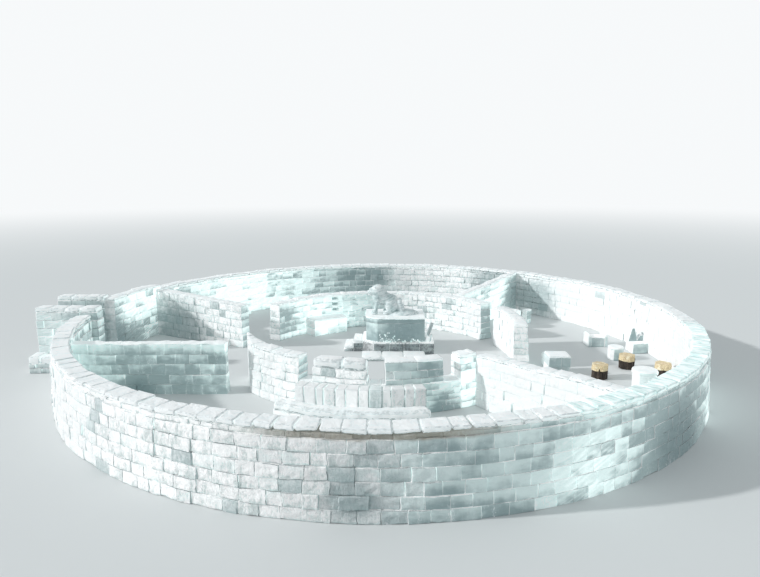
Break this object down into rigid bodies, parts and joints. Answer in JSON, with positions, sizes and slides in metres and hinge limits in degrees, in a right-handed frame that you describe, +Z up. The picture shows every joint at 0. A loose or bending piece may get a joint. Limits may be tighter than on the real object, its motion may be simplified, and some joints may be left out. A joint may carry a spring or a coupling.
{
  "type": "igloo",
  "caption": "Open-topped round igloo of ice blocks with a walled doorway, partitions, an inner court with steps and parapets, and an ice animal on a plinth.",
  "frame": {"origin": "on the ground, under the middle of the whole igloo with its doorway walls", "axes": "+Z up, -X out through the doorway, -Y towards the front with the steps and parapets"},
  "size_m": [22.08, 20.5998, 2.4588],
  "materials": {
    "ice": "pale cloudy ice blocks",
    "shaded_ice": "blue-green cloudy ice blocks",
    "snow": "white ice blocks dusted with snow",
    "wood": "bare sawn wood"
  },
  "bodies": {
    "root": {"outer_wall_1": "ice", "outer_wall_2": "ice", "outer_wall_3": "ice", "outer_wall_4": "ice", "outer_wall_5": "ice", "outer_wall_6": "ice", "outer_wall_7": "ice", "outer_wall_8": "ice", "outer_wall_9": "ice", "outer_wall_10": "ice", "outer_wall_11": "ice", "outer_wall_door_side": "ice", "porch_wall_front": "ice", "hall_wall_back": "ice", "court_front_base": "ice", "parapet_left": "ice", "parapet_right": "ice", "court_pier": "ice", "court_wall_back": "ice", "court_bench": "ice", "plinth": "ice", "corner_carving": "ice", "round_table": "ice", "porch_wall_back": "shaded_ice", "hall_wall_front": "shaded_ice", "room_wall_back": "shaded_ice", "plinth_base": "shaded_ice", "ice_chairs": "shaded_ice", "block_table": "shaded_ice", "serving_counter": "shaded_ice", "wall_seats": "shaded_ice", "doorway_seat": "shaded_ice", "porch_buttress": "snow", "room_wall_front": "snow", "court_wall_west": "snow", "court_wall_east": "snow", "court_wall_right": "snow", "court_wall_left": "snow", "step_upper": "snow", "step_lower": "snow", "plinth_steps": "snow", "guardian_figure": "snow", "ice_stool": "snow", "stools": "wood"}
  },
  "joints": []
}
